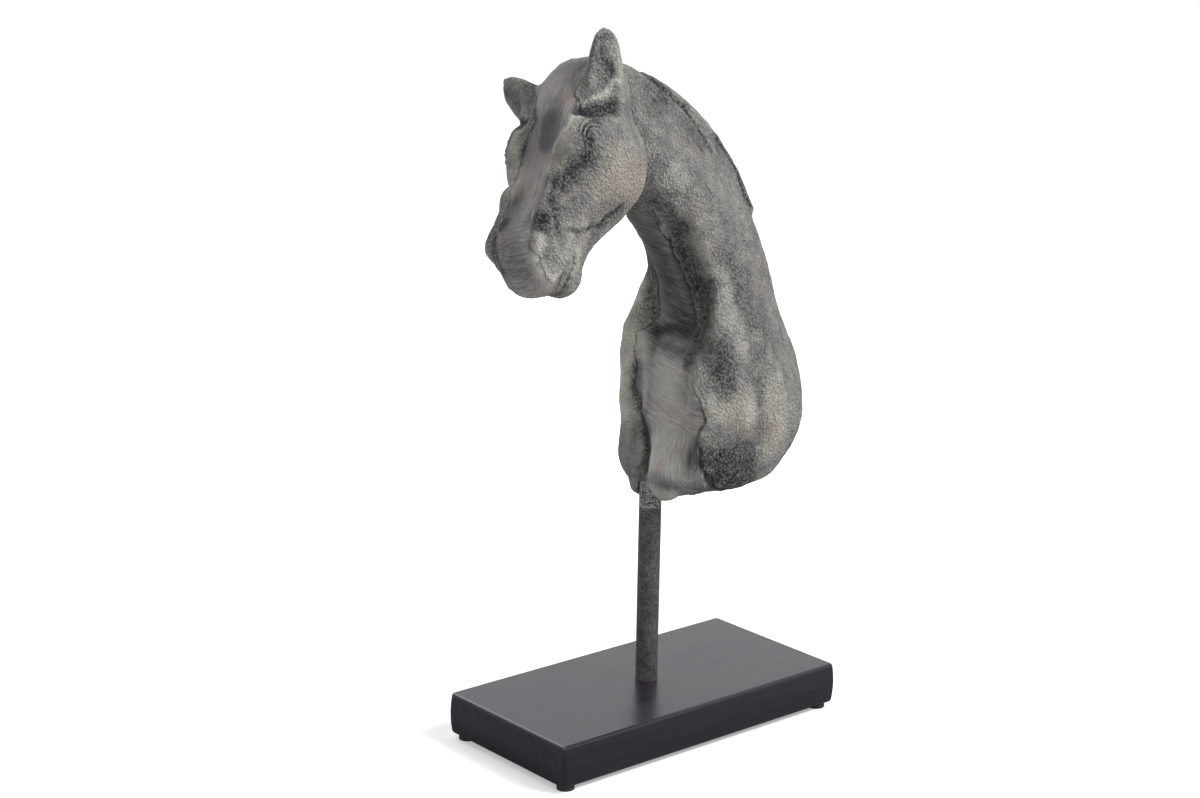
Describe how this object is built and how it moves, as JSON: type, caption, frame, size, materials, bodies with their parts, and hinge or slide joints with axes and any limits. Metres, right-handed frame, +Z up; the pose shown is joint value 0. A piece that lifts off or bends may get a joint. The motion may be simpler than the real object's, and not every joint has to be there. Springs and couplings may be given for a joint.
{
  "type": "horse head statue",
  "caption": "Cast horse head and neck with a rough grey skin and rubbed strips, standing on a steel rod in a black wooden block.",
  "frame": {"origin": "on the floor, under the middle of the whole", "axes": "+Z up, -Y the way the horse's chest faces, +X the horse's left"},
  "size_m": [0.1278, 0.2874, 0.4892],
  "materials": {
    "cast_stone": "rough cast skin, grey patina, rubbed strips",
    "rod_steel": "dark mottled steel",
    "black_wood": "satin black stain",
    "pad_rubber": "matt black pad"
  },
  "bodies": {
    "root": {"horse_head": "cast_stone", "rod": "rod_steel", "base_block": "black_wood", "foot_front_left": "pad_rubber", "foot_front_right": "pad_rubber", "foot_back_left": "pad_rubber", "foot_back_right": "pad_rubber"}
  },
  "joints": []
}
